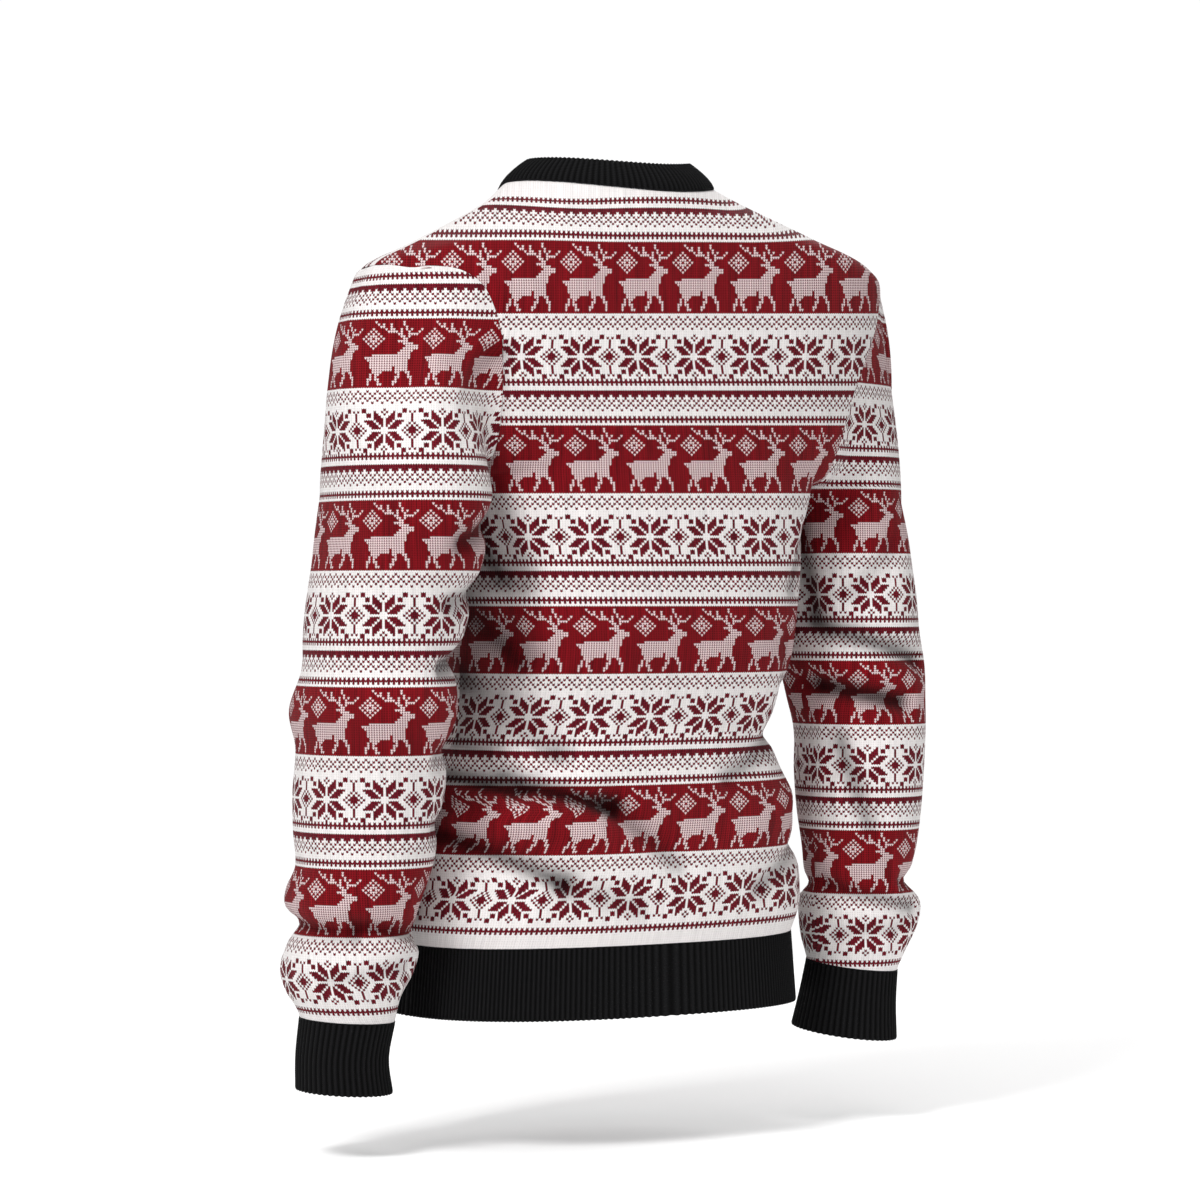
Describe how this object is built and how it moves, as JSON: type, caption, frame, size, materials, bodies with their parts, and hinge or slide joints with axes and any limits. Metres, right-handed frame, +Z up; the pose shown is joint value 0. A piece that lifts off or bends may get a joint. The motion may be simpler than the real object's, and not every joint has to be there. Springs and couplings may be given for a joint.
{
  "type": "christmas sweater",
  "caption": "Round-neck knitted pullover in a worn shape with no wearer, red and white winter bands of reindeer and stars, black ribbed neck, hem and cuffs.",
  "frame": {"origin": "middle of the neck opening, level with the upper ends of the shoulder seams", "axes": "+Z up; the wearer faces -Y; +X is the wearer's left"},
  "size_m": [0.607, 0.2807, 0.7751],
  "materials": {
    "patterned_knit": "soft jersey knit in white and dark red, matt",
    "black_rib": "black ribbed knit, matt"
  },
  "bodies": {
    "root": {"back_panel": "patterned_knit", "front_panel": "patterned_knit", "left_sleeve": "patterned_knit", "right_sleeve": "patterned_knit", "neck_rib": "black_rib", "hem_rib": "black_rib", "left_cuff": "black_rib", "right_cuff": "black_rib"}
  },
  "joints": []
}
